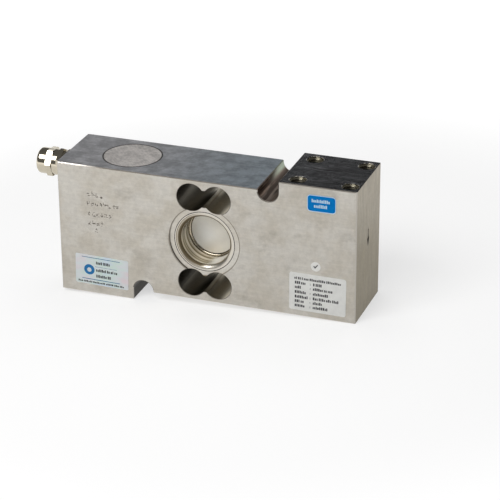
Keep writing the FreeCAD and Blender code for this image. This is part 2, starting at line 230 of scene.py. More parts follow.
def beamSteel():
    f = beamFinish
    s = Shader("groundSteel")
    place = s.place()
    x, y, z = s.split(place)
    nx, ny, nz = s.split(s.node("TexCoord", output="Normal"))
    fromBore = x - boreCentre.x

    # which face this is: each of these is 1 there and 0 elsewhere
    nearEnds = s.larger(x < bodyLow.x + 1.0, x > bodyHigh.x - 1.0)
    side = s.along(ny)
    level = s.along(nz)
    across = s.along(nx)
    top = level * s.smooth(z, lowTop - 0.6, lowTop - 0.3)
    pad = level * s.smooth(z, bodyHigh.z - 0.6, bodyHigh.z - 0.3)
    end = across * nearEnds
    under = level * (z < f["underLevel"])
    bevel = s.smooth(abs(ny), 0.25, 0.45) * (1 - side)
    cornerBevel = s.smooth(abs(nx), 0.4, 0.6) * s.smooth(abs(nz), 0.4, 0.6) * nearEnds
    edge = s.larger(bevel, cornerBevel)
    inner = 1 - s.larger(s.larger(s.larger(side, top), s.larger(end, under)), edge)

    # grinding marks run along the faces, across the slots and up the ends
    lengthways = s.noise(s.stretched(place, (0.05, 0.9, 0.9)), 1.1, 3.0, 0.6)
    sideways = s.noise(s.stretched(place, (0.9, 0.05, 0.9)), 1.1, 3.0, 0.6)
    upwards = s.noise(s.stretched(place, (0.9, 0.5, 0.05)), 1.0, 3.0, 0.6)
    streak = s.between(end, s.between(inner, lengthways, sideways), upwards)
    fine = s.noise(s.stretched(place, (0.12, 2.6, 2.6)), 1.7, 2.0, 0.6)
    mottle = s.noise(place, 0.075, 3.0, 0.55)
    patch = s.noise(s.stretched(place, (0.5, 1.0, 1.4)), 0.2, 3.0, 0.6)
    smudge = s.smooth(s.noise(s.stretched(place, (0.7, 1.0, 1.0)), 0.09, 4.0, 0.65), 0.54, 0.72)
    grit = s.smooth(s.noise(place, 0.55, 3.0, 0.7), 0.3, 0.7)
    blotch = s.smooth(s.noise(place, 0.16, 4.0, 0.65), 0.35, 0.65)

    # the long sides, with a turned seat round the cup
    face = s.mix(s.smooth(mottle, 0.35, 0.65), f["front"], f["frontWarm"])
    face = s.mix(smudge * 0.38, face, f["smudge"])
    face = s.shade(face, 1.0 - 0.06 * s.smooth(x, 20.0, 115.0))
    seatRing = s.radius(x, z, boreCentre.x, boreCentre.z)
    lowLeft = s.smooth(boreCentre.x - x + 0.6 * (boreCentre.z - z), 16.0, 20.5)
    # painted shade: a dark line round the seat's edge, wider towards its lower left
    seatShadeLine = s.smooth(abs(seatRing - f["seatRadius"]), 0.3 + 0.5 * lowLeft, 0.1)
    face = s.shade(face, 1.0 + 0.12 * s.smooth(seatRing, f["seatRadius"] - 0.25, f["seatRadius"] - 0.55))
    face = s.mix(seatShadeLine * 0.75, face, f["seatShadeLine"])

    # painted shade: the slot walls that face away from the light and the slots' left lobes are painted
    # darker, and so is the step over the foot
    padNotch = (x > f["padStep"]["past"]) * (z > lowTop - f["padStep"]["deep"])
    footNotchShade = (x < f["footStep"]["before"]) * (z < f["footStep"]["under"])
    away = s.smooth(nx, 0.1, 0.9) * inner
    facing = s.smooth(0.5 * nz - nx, 0.55, 1.0) * s.smooth(fromBore, -1.0, 3.0) * (1 - padNotch) * inner
    leftLobe = s.smooth(fromBore, 1.0, -4.0)
    slotShaded = s.shade(f["slot"], (1.0 - 0.7 * away) * (1.0 - 0.4 * leftLobe))
    # painted light: the right lobes' walls that face the light are painted lighter
    base = s.mix(facing, slotShaded, f["slotLit"])
    nearNeck = s.smooth(abs(fromBore + 1.0), 4.0, 1.0)
    # painted light: a lighter strip on the slots' upper walls by each neck, towards the back
    backLit = s.smooth(y, -6.0, 3.0) * nearNeck * s.smooth(nz, 0.1, 0.5) * inner
    base = s.mix(backLit, base, f["slotLit"])
    # painted light: a glow on the pad notch's walls that face away, near its top and back
    glow = padNotch * away * s.smooth(y, -8.0, 16.0) * s.smooth(z, 63.0, 64.6)
    scrape = s.smooth(s.noise(s.stretched(place, (0.8, 0.06, 0.8)), 0.5, 2.0, 0.5), 0.5, 0.62)
    notchShade = s.mix(glow, s.mix(scrape, f["notch"], f["notchLight"]), f["glow"])
    base = s.mix(padNotch, base, notchShade)
    base = s.mix(footNotchShade, base, f["footNotchShade"])

    # sides, top, load pad and ends over that
    base = s.mix(s.larger(side, under), base, face)
    base = s.mix(top, base, s.mix(s.smooth(x, 5.0, 85.0), f["top"], f["topCool"]))
    scuff = s.smooth(s.noise(s.stretched(place, (0.6, 1.2, 1.0)), 0.35, 4.0, 0.75), 0.44, 0.66)
    padShade = s.shade(s.mix(scuff, f["pad"], f["scuff"]), 1.0 - 0.35 * s.smooth(x, 100.0, 128.0))
    base = s.mix(pad, base, padShade)
    base = s.mix(end, base, s.mix(s.smooth(z + 0.35 * y, 30.0, 62.0), f["end"], f["endTop"]))
    depth = 0.07 + 0.14 * top + 0.35 * pad + 0.2 * end
    base = s.shade(base, 1.0 + depth * (s.smooth(streak, 0.3, 0.7) - 0.5))
    base = s.shade(base, 0.88 + 0.12 * patch + 0.12 * grit)
    base = s.shade(base, 1.0 + top * 0.4 * (blotch - 0.5))

    # the bevel is painted bright, a painted highlight, at the gland's end of the beam and down the load end,
    # and elsewhere is painted darker, a painted shade, and made rougher
    sunk = (z < f["highBevel"]) * (z > f["lowBevel"]) * (x < bodyHigh.x - 2.0) * (x > bodyLow.x + 2.0)
    upper = s.smooth(x, -9.0, 8.0) * (z > f["highBevel"])
    dullAndShaded = edge * s.larger(sunk, upper * (nz > 0.3))
    upright = 0.5 * s.smooth(abs(nx), 0.3, 0.5)
    base = s.mix(edge, base, s.mix(s.larger(dullAndShaded, upright), f["edge"], f["shadedEdge"]))

    # the countersinks have bright flecks on dark, painted glints, and are dark as the pad at their outer
    # edge
    half = loadBolts["dims"]["spacing_x_mm"] / 2
    fromHole = s.radius(abs(x - loadBolts["pos_m"][0] / mm), abs(y), half, half)
    glintFleck = s.smooth(s.noise(place, 1.3, 2.0, 0.6), 0.46, 0.6) * s.smooth(fromHole, 4.3, 4.1)
    belowPad = (z > bodyHigh.z - 0.6) * (z < bodyHigh.z - 0.02)
    sink = belowPad * (fromHole < f["sinkRadius"])
    base = s.mix(sink, base, s.mix(glintFleck, f["pad"], f["countersinkGlint"]))

    # the load arrow holds dirt, and the weld leaves a dark line round the lid
    shallow, deep = f["arrowDepth"]
    arrow = (x > bodyHigh.x - deep) * (x < bodyHigh.x - shallow) * (1 - edge) * across
    lidRing = s.radius(x, y, lidCentre.x, lidCentre.y)
    seam = top * s.smooth(abs(lidRing - f["seamRadius"]), 0.6, 0.25)
    base = s.mix(s.larger(arrow, seam * 0.65), base, f["stain"])

    rough = f["slotRoughness"]
    roughness = rough + s.larger(side, s.larger(end, under)) * (f["sideRoughness"] - rough)
    roughness = roughness + top * (f["topRoughness"] - rough)
    roughness = roughness + pad * (f["padRoughness"] - f["topRoughness"])
    roughness = roughness + edge * (f["edgeRoughness"] - rough) + dullAndShaded * 0.4 + facing * 0.2
    roughness = roughness + 0.14 * (streak - 0.5) + 0.1 * (mottle - 0.5)
    metallic = 1.0 - 0.2 * top * (1 - pad) - 0.85 * facing
    return s.principled({"Base Color": base, "Metallic": metallic, "Roughness": roughness,
                         "Normal": s.bump(fine + streak, 0.35, 0.00004)})


cupFinish = {
    "disc": colour(245, 241, 230),
    "discPaintedLight": colour(255, 254, 248),
    "discPaintedShade": colour(226, 222, 212),
    "wallDark": colour(130, 118, 92),
    "wallLight": colour(214, 206, 190),
    "paintedHighlight": colour(255, 253, 247),
    "lip": colour(214, 208, 196),
    "lipShade": colour(138, 126, 106),
    "rim": colour(216, 211, 202),
    "shadedNose": colour(122, 110, 88),
    "groove": colour(84, 74, 60),
    "turningPitch": 0.45,
    # where each zone lies, in millimetres from the cup's axis
    "discRadius": 11.3,
    "grooveRadius": 11.55,
    "lipRadius": 12.38,
    "rimRadius": 14.4,
    "grooveDepth": 12.6,
}


def cupSteel():
    f = cupFinish
    s = Shader("turnedSteel")
    place = s.place()
    x, y, z = s.split(place)
    r = s.radius(x, z, boreCentre.x, boreCentre.z)
    depth = bodyHigh.y - abs(y)
    lowRight = 0.6 * (x - boreCentre.x) - 0.8 * (z - boreCentre.z)
    lowLeft = 0.7 * (boreCentre.x - x) + 0.7 * (boreCentre.z - z)
    left = s.smooth(boreCentre.x - x, -2.0, 10.0)
    rim = s.smooth(r, f["rimRadius"], f["rimRadius"] + 0.3)
    lip = s.smooth(r, f["lipRadius"], f["lipRadius"] + 0.22) * (1 - rim)
    disc = s.smooth(r, f["discRadius"] + 0.15, f["discRadius"])
    wall = (1 - disc) * (1 - rim) * (1 - lip)
    groove = s.smooth(abs(r - f["grooveRadius"]), 0.3, 0.15)
    groove = groove * s.smooth(depth, f["grooveDepth"], f["grooveDepth"] + 0.35)

    # the tool left rings in the wall and the lip, and the wall has a painted highlight at its lower right
    wallRing = s.node("TexNoise", {"noise_dimensions": "1D"}, {"W": depth, "Scale": 0.62, "Detail": 1.0})
    lipRing = s.node("TexNoise", {"noise_dimensions": "1D"}, {"W": r, "Scale": 2.4, "Detail": 2.0})
    paintedHighlight = s.smooth(lowRight, 9.6, 12.0) * s.smooth(depth, 1.2, 3.5) * s.smooth(depth, 11.5, 9.0)
    base = s.mix(s.smooth(wallRing, 0.4, 0.58), f["wallDark"], f["wallLight"])
    base = s.mix(paintedHighlight, base, f["paintedHighlight"])
    base = s.mix(rim, base, f["rim"])
    lipTone = left * (0.35 + 0.65 * s.smooth(lipRing, 0.42, 0.56))
    base = s.mix(lip, base, s.mix(lipTone, f["lip"], f["lipShade"]))
    # painted shade: the lip's rounded nose is painted dark, except at its lower right, to hold back its
    # highlight
    shadedNose = s.smooth(r, 12.36, 12.5) * s.smooth(r, 13.7, 13.2) * (1 - s.smooth(lowRight, 8.5, 11.5))
    base = s.mix(shadedNose, base, f["shadedNose"])

    # the disc between them is plain, with painted light towards its lower left that evens out its shade
    # there, and painted shade towards its lower right that holds back a highlight
    face = s.mix(s.smooth(lowLeft, -5.0, 5.0), f["disc"], f["discPaintedLight"])
    face = s.mix(s.smooth(lowRight, 0.0, 7.0), face, f["discPaintedShade"])
    base = s.mix(disc, base, face)
    base = s.mix(groove, base, f["groove"])
    turned = s.maths("SINE", r * (2 * math.pi / f["turningPitch"]))
    cloud = s.noise(place, 0.35, 3.0, 0.6)
    base = s.shade(base, 0.94 + 0.12 * cloud)
    height = turned * (disc * 0.1 + rim * 0.3) + wallRing * wall + lipRing * lip + cloud * 0.6
    roughness = 0.22 + 0.33 * disc + 0.2 * rim + 0.1 * lip + 0.16 * paintedHighlight
    roughness = roughness + 0.45 * shadedNose + 0.08 * (cloud - 0.5)
    metallic = 1.0 - 0.5 * paintedHighlight - 0.4 * disc
    return s.principled({"Base Color": base, "Metallic": metallic, "Roughness": roughness,
                         "Normal": s.bump(height, 0.35, 0.00003)})


lidFinish = {
    "face": colour(212, 207, 203),
    "rim": colour(96, 88, 82),
    "rimRadius": 13.6,  # millimetres
    "grindAngle": 0.9,
    "roughness": 0.55,
}


def lidSteel():
    f = lidFinish
    s = Shader("lidSteel")
    place = s.place()
    x, y = s.split(place)[:2]
    r = s.radius(x, y, lidCentre.x, lidCentre.y)
    slanted = s.node("VectorRotate", {"rotation_type": "Z_AXIS"},
                     {"Vector": place, "Angle": f["grindAngle"]})
    streak = s.noise(s.stretched(slanted, (0.08, 0.9, 0.9)), 1.3, 3.0, 0.6)
    cloud = s.noise(place, 0.2, 3.0, 0.6)
    grit = s.noise(place, 0.8, 3.0, 0.7)
    rim = s.smooth(r, f["rimRadius"], f["rimRadius"] + 0.35)
    tone = 0.14 * s.smooth(streak, 0.3, 0.7) + 0.22 * s.smooth(cloud, 0.35, 0.65)
    tone = tone + 0.16 * s.smooth(grit, 0.3, 0.7)
    base = s.shade(s.mix(rim * 0.5, f["face"], f["rim"]), 0.70 + tone)
    return s.principled({"Base Color": base, "Metallic": 0.65,
                         "Roughness": f["roughness"] + 0.12 * (streak - 0.5),
                         "Normal": s.bump(streak + cloud, 0.3, 0.00003)})


nickelFinish = {
    "light": colour(206, 198, 180),
    "deep": colour(190, 182, 164),
    "roughness": 0.1,
}


def nickelPlate():
    f = nickelFinish
    s = Shader("nickelPlate")
    place = s.place()
    cloud = s.noise(place, 0.5, 3.0, 0.6)
    fine = s.noise(s.stretched(place, (3.0, 1.0, 1.0)), 1.4, 2.0, 0.5)
    return s.principled({"Base Color": s.mix(cloud, f["light"], f["deep"]), "Metallic": 1.0,
                         "Roughness": f["roughness"] + 0.1 * cloud,
                         "Normal": s.bump(fine, 0.12, 0.00002)})


def grainy(name, shadeA, shadeB, roughness, scale, metallic=0.0, gloss=0.5):
    # a two-tone clouded finish, for the small parts, the print and the moulded ones
    s = Shader(name)
    place = s.place()
    cloud = s.noise(place, scale, 4.0, 0.6)
    fine = s.noise(place, scale * 6.0, 2.0, 0.6)
    base = s.mix(s.smooth(cloud, 0.3, 0.7), shadeA, shadeB)
    return s.principled({"Base Color": base, "Metallic": metallic, "Specular IOR Level": gloss,
                         "Roughness": roughness + 0.12 * (fine - 0.5),
                         "Normal": s.bump(cloud * 0.5 + fine, 0.3, 0.00003)})


# foil that shows faint pink, green and blue tints as it bends
silverFinish = {
    "tints": [(0.3, colour(236, 224, 228)), (0.45, colour(228, 234, 236)),
              (0.58, colour(220, 237, 230)), (0.7, colour(218, 232, 245))],
    "metallic": 0.15,
    "roughness": 0.32,
}


def silverFilm():
    f = silverFinish
    s = Shader("silverFilm")
    place = s.place()
    cloud = s.noise(s.stretched(place, (0.5, 1.0, 1.0)), 0.16, 2.0, 0.5)
    fine = s.noise(place, 2.0, 2.0, 0.6)
    tint = s.node("ValToRGB", {"stops": f["tints"]}, {"Fac": cloud})
    return s.principled({"Base Color": tint, "Metallic": f["metallic"],
                         "Roughness": f["roughness"] + 0.1 * fine,
                         "Normal": s.bump(cloud * 4.0 + fine, 0.15, 0.00003)})


weldFinish = {
    "light": colour(58, 52, 48),
    "deep": colour(34, 30, 28),
    "roughness": 0.35,
}


def weldBead():
    f = weldFinish
    s = Shader("weldBead")
    cloud = s.noise(s.place(), 1.2, 3.0, 0.6)
    return s.principled({"Base Color": s.mix(cloud, f["light"], f["deep"]), "Metallic": 1.0,
                         "Roughness": f["roughness"] + 0.2 * cloud,
                         "Normal": s.bump(cloud, 0.3, 0.00004)})


# bright at the mouth of each hole, and painted dark further in, a painted shade down the hole
threadFinish = {
    "mouth": colour(176, 170, 150),
    "mouthDeep": colour(120, 114, 98),
    "holeShade": colour(34, 32, 26),
    "shadeFrom": 1.0,  # millimetres into the hole
    "shadeTo": 3.6,
    "roughness": 0.26,
}


def threadSteel():
    f = threadFinish
    s = Shader("threadSteel")
    place = s.place()
    z = s.split(place)[2]
    deep = s.smooth(s.maths("MINIMUM", bodyHigh.z - z, z), f["shadeFrom"], f["shadeTo"])
    cloud = s.noise(place, 0.9, 3.0, 0.6)
    base = s.mix(deep, s.mix(cloud, f["mouth"], f["mouthDeep"]), f["holeShade"])
    return s.principled({"Base Color": base, "Metallic": 1.0, "Roughness": f["roughness"] + 0.2 * deep,
                         "Normal": s.bump(cloud, 0.2, 0.00003)})


finishes = {
    "beam_steel": beamSteel(),
    "cup_steel": cupSteel(),
    "lid_steel": lidSteel(),
    "nickel": nickelPlate(),
    "gauge_film": grainy("gaugeFilm", colour(196, 138, 52), colour(168, 108, 34), 0.35, 2.0),
    "terminal_film": grainy("terminalFilm", colour(178, 116, 48), colour(200, 160, 90), 0.4, 1.5),
    "enamel_wire": grainy("enamelWire", colour(170, 84, 30), colour(140, 60, 22), 0.3, 3.0),
    "red_insulation": grainy("redInsulation", colour(176, 26, 22), colour(150, 20, 18), 0.45, 2.0),
    "black_insulation": grainy("blackInsulation", colour(30, 30, 32), colour(44, 44, 46), 0.45, 2.0),
    "green_insulation": grainy("greenInsulation", colour(24, 120, 52), colour(18, 98, 42), 0.45, 2.0),
    "white_insulation": grainy("whiteInsulation", colour(224, 222, 214), colour(206, 204, 196), 0.45, 2.0),
    "foam": grainy("foam", colour(70, 72, 74), colour(50, 52, 54), 0.95, 4.0),
    "board": grainy("board", colour(22, 92, 54), colour(30, 112, 66), 0.4, 0.8),
    "resistor": grainy("resistor", colour(36, 36, 38), colour(60, 58, 56), 0.5, 3.0),
    "clamp_plastic": grainy("clampPlastic", colour(60, 62, 64), colour(74, 76, 78), 0.55, 2.0),
    "seal_rubber": grainy("sealRubber", colour(28, 28, 28), colour(40, 40, 40), 0.75, 3.0),
    "ring_rubber": grainy("ringRubber", colour(22, 22, 23), colour(34, 34, 35), 0.6, 3.0),
    "rating_film": grainy("ratingFilm", colour(247, 247, 243), colour(238, 238, 234), 0.4, 0.3),
    "silver_film": silverFilm(),
    "blue_film": grainy("blueFilm", colour(0, 132, 212), colour(0, 122, 202), 0.6, 0.6, gloss=0.1),
    "white_film": grainy("whiteFilm", colour(252, 251, 247), colour(245, 244, 239), 0.5, 0.6),
}
inks = {
    "dark": grainy("darkInk", colour(46, 44, 46), colour(34, 34, 38), 0.6, 2.0),
    "pale": grainy("paleInk", colour(212, 236, 250), colour(196, 226, 246), 0.5, 2.0),
    "blue": grainy("blueInk", colour(20, 122, 184), colour(14, 112, 174), 0.5, 2.0),
    "line": grainy("lineInk", colour(36, 116, 160), colour(26, 104, 150), 0.5, 2.0),
    "white": grainy("whiteInk", colour(232, 238, 240), colour(222, 230, 234), 0.5, 2.0),
}
# the stamped marks: a dark tone, painted shade of each dent, and a bright one, a painted highlight on its
# rim
peened = {
    "dark": grainy("peenedSteel", colour(148, 141, 132), colour(130, 124, 116), 0.5, 2.0, metallic=1.0),
    "bright": grainy("peenedHighlight", colour(216, 212, 204), colour(208, 203, 195), 0.4, 2.0, metallic=1.0),
}
weld = weldBead()
cutThread = threadSteel()
for part in frame["record"]["subparts"]:
    mesh = frame["nodes"][part["node"]].data
    mesh.materials.clear()
    mesh.materials.append(finishes[part["material_slot"]])
print("finishes on", len(frame["nodes"]), "nodes")


def addPiece(name, build, materials, replaced=None):
    # build fills a bmesh in millimetres of the part's frame; the piece rides on the one rigid body
    shape = bmesh.new()
    build(shape)
    bmesh.ops.recalc_face_normals(shape, faces=shape.faces)
    bmesh.ops.scale(shape, vec=(mm, mm, mm), verts=shape.verts)
    mesh = bpy.data.meshes.new(name)
    shape.to_mesh(mesh)
    shape.free()
    for material in materials:
        mesh.materials.append(material)
    piece = bpy.data.objects.new(name, mesh)
    bpy.context.scene.collection.objects.link(piece)
    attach(piece, "root")
    if replaced:
        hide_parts(replaced)


def addPlate(shape, outline, near, far, material):
    # a flat plate on the front face: outline is its (x, z) points, near and far its two y places
    rings = [[shape.verts.new((px, py, pz)) for px, pz in outline] for py in (near, far)]
    faces = [shape.faces.new(rings[0]), shape.faces.new(rings[1][::-1])]
    count = len(outline)
    for i in range(count):
        j = (i + 1) % count
        faces.append(shape.faces.new((rings[0][j], rings[0][i], rings[1][i], rings[1][j])))
    for face in faces:
        face.material_index = material


def corners(left, right, low, high):
    return [(left, low), (right, low), (right, high), (left, high)]


def rounded(left, right, low, high, radius, steps=6):
    points = []
    for centreX, centreZ, start in ((right - radius, high - radius, 0), (left + radius, high - radius, 90),
                                    (left + radius, low + radius, 180), (right - radius, low + radius, 270)):
        for i in range(steps + 1):
            a = math.radians(start + 90 * i / steps)
            points.append((centreX + radius * math.cos(a), centreZ + radius * math.sin(a)))
    return points


def disc(centreX, centreZ, radius, steps=40):
    return [(centreX + radius * math.cos(2 * math.pi * i / steps),
             centreZ + radius * math.sin(2 * math.pi * i / steps)) for i in range(steps)]


def turnedBy(points, angle, centre):
    c, s = math.cos(math.radians(angle)), math.sin(math.radians(angle))
    return [(centre[0] + (px - centre[0]) * c - (pz - centre[1]) * s,
             centre[1] + (px - centre[0]) * s + (pz - centre[1]) * c) for px, pz in points]


# where the films and their print lie, along y in millimetres
film = {
    "back": bodyLow.y,
    "front": bodyLow.y - 0.1,
    "ink": bodyLow.y - 0.113,
    "step": 0.006,  # how far one ink lies over another
}
draw = random.Random(7)

# the blocks that stand for print, in millimetres, with heights and stretch as shares of a row's
lettering = {
    "widths": (0.45, 0.75),
    "heights": (0.75, 0.8, 1.0, 1.0, 1.0),
    "stretch": 1.25,
    "gap": 0.22,
    "space": 0.55,
    "spaceShare": 0.1,
    "shortest": 0.3,
    "dotWidth": 0.3,
    "dotHeight": 0.28,
    "dotRise": 0.28,
}

# each row of print: where it starts and how long it is, as shares of the label's length,
# its middle as a share of the height from the top, and its height in mm
labels = {
    "rating_label": {
        "finish": "rating_film", "corner": 1.1, "turn": -0.4, "ink": "dark",
        "rows": [(0.09, 0.84, 0.15, 1.0),
                 (0.10, 0.20, 0.27, 1.15), (0.42, 0.14, 0.27, 1.15),
                 (0.10, 0.12, 0.39, 1.15), (0.42, 0.33, 0.39, 1.15),
                 (0.10, 0.21, 0.52, 1.15), (0.42, 0.26, 0.52, 1.15),
                 (0.10, 0.22, 0.645, 1.15), (0.42, 0.46, 0.645, 1.15),
                 (0.10, 0.15, 0.765, 1.15), (0.42, 0.17, 0.765, 1.15),
                 (0.10, 0.16, 0.885, 1.0), (0.42, 0.27, 0.885, 1.15)],
        "colons": (0.365, (0.27, 0.39, 0.52, 0.645, 0.765, 0.885)),
    },
    "blue_label": {
        "finish": "blue_film", "corner": 1.7, "turn": 0.6, "ink": "pale", "margin": 0.35,
        "rows": [(0.16, 0.64, 0.36, 1.3), (0.24, 0.44, 0.67, 1.3)],
    },
    "left_label": {
        "finish": "silver_film", "corner": 0.9, "turn": -1.2, "ink": "dark",
        "rows": [(0.39, 0.26, 0.25, 1.2), (0.39, 0.40, 0.50, 1.2), (0.39, 0.27, 0.70, 1.2),
                 (0.05, 0.88, 0.925, 0.75)],
        "lines": [(0.12, 0.84, 0.085, 0.3), (0.37, 0.78, 0.375, 0.14), (0.12, 0.84, 0.825, 0.34)],
        "mark": (0.26, 0.50, 2.75, 1.155),  # its place as shares, its radius and its hole's
    },
    "round_label": {
        "finish": "white_film", "turn": 0.0, "ink": "dark",
        "tick": [(-1.15, 0.05), (-0.75, 0.45), (-0.25, -0.2), (0.85, 1.2), (1.2, 0.85), (-0.3, -1.05)],
    },
}


def addPrint(shape, spot, length, height, turn, centre):
    # a word of print as small blocks, with tall and short ones and now and then a gap
    t = lettering
    px, pz = spot
    end = px + length
    while px < end - t["shortest"]:
        width = draw.uniform(*t["widths"])
        tall = t["stretch"] * height * draw.choice(t["heights"])
        low = pz - height / 2
        block = corners(px, px + width, low, low + tall)
        addPlate(shape, turnedBy(block, turn, centre), film["ink"], film["front"], 1)
        px += width + (t["space"] if draw.random() < t["spaceShare"] else t["gap"])


def makeLabel(node):
    label = labels[node]
    turn = label["turn"]
    low, high = [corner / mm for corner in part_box(node)]
    length, height = high.x - low.x, high.z - low.z
    centre = ((low.x + high.x) / 2, (low.z + high.z) / 2)
    between = film["ink"] + film["step"]

    def at(share, drop):
        return low.x + share * length, high.z - drop * height

    def build(shape):
        def lay(outline, near, far, material):
            addPlate(shape, turnedBy(outline, turn, centre), near, far, material)

        if "corner" in label:
            outline = rounded(low.x, high.x, low.z, high.z, label["corner"])
        else:
            outline = disc(*centre, length / 2)
        lay(outline, film["front"], film["back"], 0)
        if "tick" in label:
            tick = [(centre[0] + px, centre[1] + pz) for px, pz in label["tick"]]
            lay(tick, film["ink"], film["front"], 1)
        for start, share, drop, tall in label.get("rows", ()):
            addPrint(shape, at(start, drop), share * length, tall, turn, centre)
        share, drops = label.get("colons", (0, ()))
        for drop in drops:
            px, pz = at(share, drop)
            for rise in (-lettering["dotRise"], lettering["dotRise"]):
                foot = pz + rise - lettering["dotHeight"] / 2
                dot = corners(px, px + lettering["dotWidth"], foot, foot + lettering["dotHeight"])
                lay(dot, film["ink"], film["front"], 1)
        for start, finish, drop, thick in label.get("lines", ()):
            left, pz = at(start, drop)
            right, pz = at(finish, drop)
            lay(corners(left, right, pz - thick / 2, pz + thick / 2), film["ink"], film["front"], 2)
        if "mark" in label:
            share, drop, radius, hole = label["mark"]
            px, pz = at(share, drop)
            lay(disc(px, pz, radius), between, film["front"], 3)
            addPlate(shape, disc(px, pz, hole), film["ink"], between, 4)
        if "margin" in label:
            # a pale margin shows round the coloured field
            margin = label["margin"]
            inner = rounded(low.x + margin, high.x - margin, low.z + margin, high.z - margin,
                            label["corner"] - margin)
            for i in range(len(outline)):
                j = (i + 1) % len(outline)
                lay([outline[i], outline[j], inner[j], inner[i]], between, film["front"], 1)

    materials = [finishes[label["finish"]], inks[label["ink"]], inks["line"], inks["blue"], inks["white"]]
    addPiece(node + "Film", build, materials, node)


for node in labels:
    makeLabel(node)
print("labels printed")

# faint peened marks, in rows that run level along the beam: how far each row starts from
# the gland's end, how far it lies below the top, and how many marks it has
stamps = {
    "rows": [(15.2, 15.0, 4), (15.0, 19.6, 8), (15.2, 25.0, 6), (15.3, 29.8, 4), (18.6, 33.4, 1)],
    "pitch": 2.15,
    "pecks": 5,
    "wide": 0.32,
    "long": (0.6, 1.3),
    "spreadX": (0, 1.2),
    "spreadZ": (-1.2, 0.9),
    "lean": (-12, 12),
    "highlightShift": 0.17,
    "sunk": 0.01,
}


def buildStamps(shape):
    t = stamps
    for fromEnd, drop, count in t["rows"]:
        for i in range(count):
            px = bodyLow.x + fromEnd + t["pitch"] * i
            pz = lowTop - drop
            for j in range(t["pecks"]):
                sx, sz = px + draw.uniform(*t["spreadX"]), pz + draw.uniform(*t["spreadZ"])
                tall, wide = draw.uniform(*t["long"]), t["wide"]
                if draw.random() < 0.5:
                    tall, wide = wide, tall
                # each peck is a dark patch with a bright sliver beside it: painted shade and a painted
                # highlight
                for shift, kind in ((0.0, 0), (t["highlightShift"], 1)):
                    left, low = sx + shift, sz - shift
                    peck = turnedBy(corners(left, left + wide, low, low + tall),
                                    draw.uniform(*t["lean"]), (left, low))
                    near = bodyLow.y - film["step"] * (2 - kind)
                    addPlate(shape, peck, near, bodyLow.y + t["sunk"], kind)


addPiece("stampedMarks", buildStamps, [peened["dark"], peened["bright"]])

# the threads of the tapped holes: three radii, then lengths into the hole, in millimetres
thread = {
    "major": 3.97,
    "minor": 3.25,
    "wall": 3.99,  # just inside the hole's own wall
    "pitch": 1.25,
    "start": 0.42,
    "depth": 15.2,
    "around": 40,
    "perTurn": 8,
    "fadeRows": 5,
}


def addThread(shape, px, py, face, down):
    # a cut thread as a ripple of the hole's wall, which climbs one pitch in each turn
    t = thread
    rows = int(t["depth"] / t["pitch"] * t["perTurn"])
    inner, outer = [], []
    for k in range(rows + 1):
        depth = t["start"] + (t["depth"] - t["start"]) * k / rows
        inside, outside = [], []
        for i in range(t["around"]):
            turn = i / t["around"]
            phase = (depth / t["pitch"] + turn) % 1.0
            ridge = min(1.0, max(0.0, 1.25 - abs(phase - 0.5) * 3.0))
            ridge *= min(1.0, k / t["fadeRows"], (rows - k) / t["fadeRows"])
            radius = t["major"] - (t["major"] - t["minor"]) * ridge
            c, s = math.cos(2 * math.pi * turn), math.sin(2 * math.pi * turn)
            height = face + down * depth
            inside.append(shape.verts.new((px + radius * c, py + radius * s, height)))
            outside.append(shape.verts.new((px + t["wall"] * c, py + t["wall"] * s, height)))
        inner.append(inside)
        outer.append(outside)
    for i in range(t["around"]):
        j = (i + 1) % t["around"]
        for k in range(rows):
            shape.faces.new((inner[k][i], inner[k][j], inner[k + 1][j], inner[k + 1][i])).smooth = True
            shape.faces.new((outer[k][j], outer[k][i], outer[k + 1][i], outer[k + 1][j])).smooth = True
        shape.faces.new((outer[0][i], outer[0][j], inner[0][j], inner[0][i]))
        shape.faces.new((inner[-1][i], inner[-1][j], outer[-1][j], outer[-1][i]))


def makeThreads(mount):
    spot = Vector(mount["pos_m"]) / mm
    half = mount["dims"]["spacing_x_mm"] / 2
    down = -mount["axis"][2]

    def build(shape):
        for px in (-half, half):
            for py in (-half, half):
                addThread(shape, spot.x + px, spot.y + py, spot.z, down)

    addPiece(mount["name"] + "Thread", build, [cutThread])


for mount in frame["record"]["mounts"]:
    if mount["kind"] == "bolt_pattern":
        makeThreads(mount)

# the welds: beads that follow the joints round the lid and round each cup, in millimetres
welds = {
    "lidWeld": {
        "centre": Vector((lidCentre.x, lidCentre.y, lowTop)), "out": Vector((0, 0, 1)),
        "radius": 14.2, "width": 0.62, "height": 0.05,
    },
    "frontCupWeld": {
        "centre": Vector((boreCentre.x, bodyLow.y + 0.5, boreCentre.z)), "out": Vector((0, -1, 0)),
        "radius": 15.16, "width": 0.4, "height": 0.06,
    },
    "rearCupWeld": {
        "centre": Vector((boreCentre.x, bodyHigh.y - 0.5, boreCentre.z)), "out": Vector((0, 1, 0)),
        "radius": 15.16, "width": 0.4, "height": 0.06,
    },
}
bead = {
    "count": 150,
    "across": 9,
    "ripple": 0.02,
    "ripples": 60,
    "wobble": 0.12,
    "sunk": 0.03,
}


